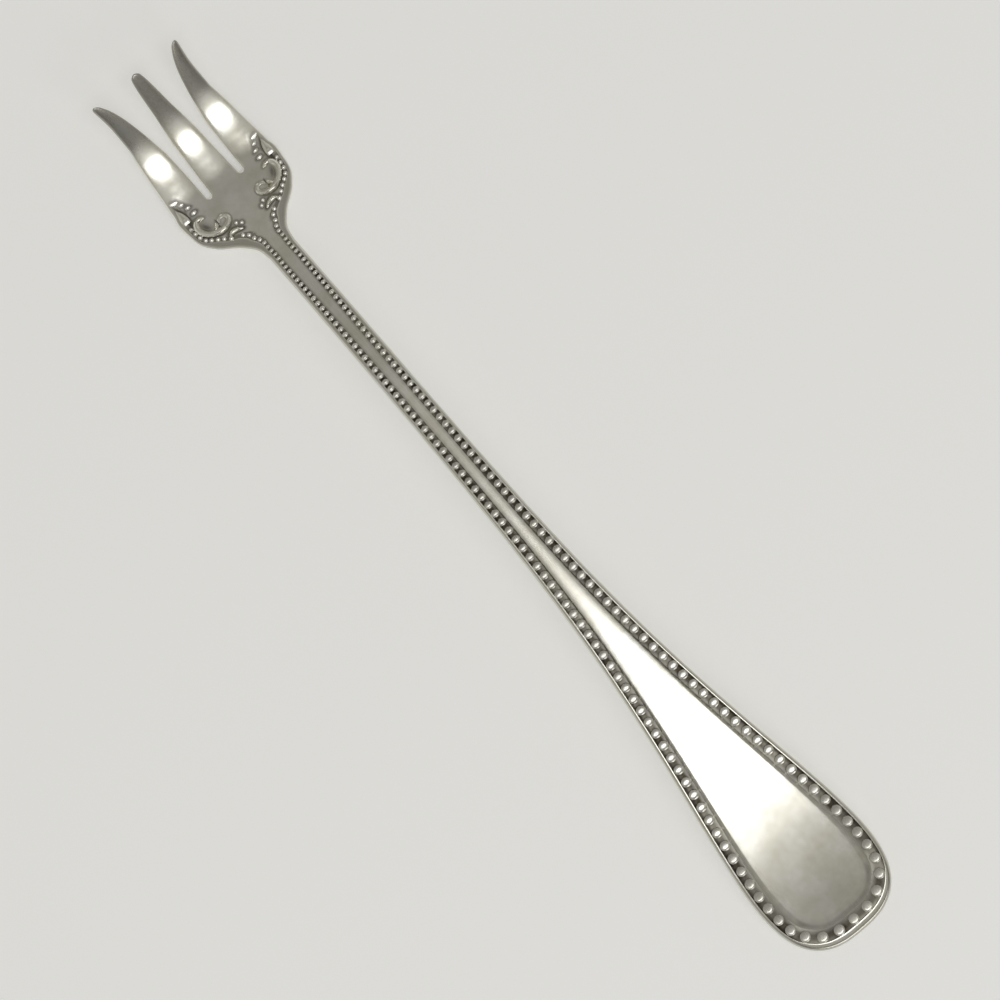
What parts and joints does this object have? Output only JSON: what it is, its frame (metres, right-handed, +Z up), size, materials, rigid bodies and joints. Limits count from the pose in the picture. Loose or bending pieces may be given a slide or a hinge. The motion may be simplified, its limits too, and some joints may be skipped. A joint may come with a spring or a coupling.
{
  "type": "olive fork",
  "caption": "Slim silver olive fork with curved pointed tines, scroll-worked shoulders and a long tapered handle edged with graduated beads, for lifting olives or pickles.",
  "frame": {"origin": "on the table under the middle of the fork's box, as it lies face up", "axes": "+X from the handle end towards the tine tips, +Y to the fork's left side, +Z up out of its face"},
  "size_m": [0.15, 0.0186, 0.01],
  "materials": {
    "silver": "satin hand-worn silver, darkened in the recesses",
    "bead_silver": "bright silver on raised beads and pearls, dark between them"
  },
  "bodies": {
    "root": {"fork_blank": "silver", "terminal_beads": "bead_silver", "left_handle_beads": "bead_silver", "right_handle_beads": "bead_silver", "left_stem_beads": "bead_silver", "right_stem_beads": "bead_silver", "left_neck_beads": "bead_silver", "right_neck_beads": "bead_silver", "left_shoulder_pearls": "bead_silver", "right_shoulder_pearls": "bead_silver", "left_c_scroll": "silver", "right_c_scroll": "silver", "left_inner_leaf": "silver", "right_inner_leaf": "silver", "left_neck_scroll": "silver", "right_neck_scroll": "silver", "left_pearl_pair": "bead_silver", "right_pearl_pair": "bead_silver", "left_shoulder_leaf": "silver", "right_shoulder_leaf": "silver", "left_trailing_pearls": "bead_silver", "right_trailing_pearls": "bead_silver"}
  },
  "joints": []
}
